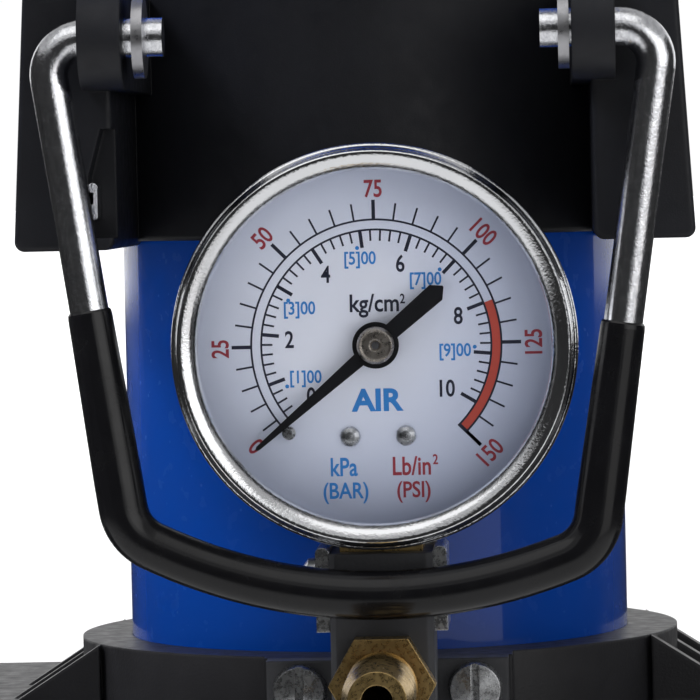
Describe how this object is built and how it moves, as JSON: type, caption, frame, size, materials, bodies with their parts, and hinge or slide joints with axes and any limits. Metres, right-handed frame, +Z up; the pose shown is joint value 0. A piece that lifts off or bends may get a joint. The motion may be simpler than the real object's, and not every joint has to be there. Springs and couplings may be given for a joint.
{
  "type": "double action hand pump",
  "caption": "Floor-standing double-acting hand pump with T handle, blue barrel, front pressure gauge and a hinged wire stirrup with a dipped grip.",
  "frame": {"origin": "on the floor, on the axis of the barrel", "axes": "+Z up along the barrel, the gauge faces -Y, +X to the right seen from the gauge side"},
  "size_m": [0.218, 0.133, 0.5378],
  "materials": {
    "black_casting": "satin black enamel on an aluminium casting",
    "blue_enamel": "glossy royal blue enamel on steel tube",
    "black_plastic": "fine matte moulded surface",
    "black_vinyl": "glossy dipped vinyl coat",
    "chrome": "bright plated steel",
    "zinc": "bright zinc plated steel",
    "dark_zinc": "dark grey die cast block",
    "aluminium": "machined aluminium",
    "brass": "machined brass",
    "bronze": "sintered bronze",
    "rubber": "black rubber",
    "grip_rubber": "ribbed black rubber",
    "leather": "greased pressed leather",
    "ptfe": "plain white guide ring",
    "clear": "clear polished window",
    "dial_white": "cool white enamelled dial",
    "needle_black": "black enamelled pointer",
    "spring_steel": "spring steel"
  },
  "bodies": {
    "pump_body": {"barrel": "blue_enamel", "base": "black_casting", "base_screws": "zinc", "bezel": "chrome", "bourdon_link": "brass", "bourdon_tube": "bronze", "bracket": "zinc", "bracket_screw": "zinc", "bumper": "rubber", "clamp_nut": "zinc", "clamp_screw": "zinc", "collar": "black_plastic", "collar_clip": "chrome", "cylinder": "aluminium", "cylinder_gaskets": "rubber", "dial": "dial_white", "dial_screws": "zinc", "gauge_case": "zinc", "gauge_socket": "brass", "gland_ring": "brass", "hairspring": "bronze", "head_orings": "rubber", "hose_barb": "brass", "lens": "clear", "lens_gasket": "rubber", "lower_head": "aluminium", "manifold": "dark_zinc", "manifold_screws": "zinc", "movement_pillars": "brass", "movement_plates": "brass", "rod_bush": "bronze", "rod_seal": "rubber", "rubber_feet": "rubber", "stop_pin": "zinc", "top_cap": "black_plastic", "upper_head": "aluminium", "valve_retainers": "brass", "valve_spring_upper_inlet": "spring_steel", "valve_spring_upper_outlet": "spring_steel"},
    "piston": {"piston_nut": "zinc", "piston_washers": "zinc", "piston_cups": "leather", "piston_body": "aluminium", "piston_ring": "ptfe", "piston_rod": "chrome", "handle_hub": "aluminium", "handle_tube": "chrome", "handle_nut": "chrome", "hand_grips": "grip_rubber"},
    "stirrup": {"stirrup_wire": "chrome", "stirrup_coat": "black_vinyl", "push_nuts": "spring_steel"},
    "needle": {"arbor": "spring_steel", "pointer": "needle_black", "pointer_cap": "zinc"},
    "sector": {"sector_gear": "brass"},
    "valve_lower_inlet": {"valve_disc_lower_inlet": "rubber"},
    "valve_lower_outlet": {"valve_disc_lower_outlet": "rubber"},
    "valve_upper_inlet": {"valve_disc_upper_inlet": "rubber"},
    "valve_upper_outlet": {"valve_disc_upper_outlet": "rubber"}
  },
  "joints": [
    {"name": "piston_slide", "type": "slide", "parent": "pump_body", "child": "piston", "axis": [0, 0, 1], "range_m": [0, 0.376]},
    {"name": "stirrup_hinge", "type": "hinge", "parent": "pump_body", "child": "stirrup", "pos_m": [0, -0.065, 0.1], "axis": [-1, 0, 0], "range_deg": [0, 150]},
    {"name": "pointer_hinge", "type": "hinge", "parent": "pump_body", "child": "needle", "pos_m": [0.0026, -0.061, 0.06], "axis": [0, 1, 0], "range_deg": [0, 265], "stiffness_Nm_per_rad": 0.00002, "springref_deg": -17.19},
    {"name": "sector_hinge", "type": "hinge", "parent": "pump_body", "child": "sector", "pos_m": [0.0026, -0.052, 0.069], "axis": [0, -1, 0], "range_deg": [0, 34]},
    {"name": "lower_inlet_lift", "type": "slide", "parent": "pump_body", "child": "valve_lower_inlet", "axis": [0, 0, 1], "range_m": [0, 0.0015]},
    {"name": "lower_outlet_lift", "type": "slide", "parent": "pump_body", "child": "valve_lower_outlet", "axis": [0, 0, 1], "range_m": [0, 0.0015]},
    {"name": "upper_inlet_lift", "type": "slide", "parent": "pump_body", "child": "valve_upper_inlet", "axis": [0, 0, -1], "range_m": [0, 0.0015], "stiffness_N_per_m": 10, "springref_m": -0.002, "deforming": ["valve_spring_upper_inlet"]},
    {"name": "upper_outlet_lift", "type": "slide", "parent": "pump_body", "child": "valve_upper_outlet", "axis": [0, 0, -1], "range_m": [0, 0.0015], "stiffness_N_per_m": 10, "springref_m": -0.002, "deforming": ["valve_spring_upper_outlet"]}
  ],
  "couplings": [
    {"joint": "sector_hinge", "follows": "pointer_hinge", "ratio": 0.125}
  ]
}
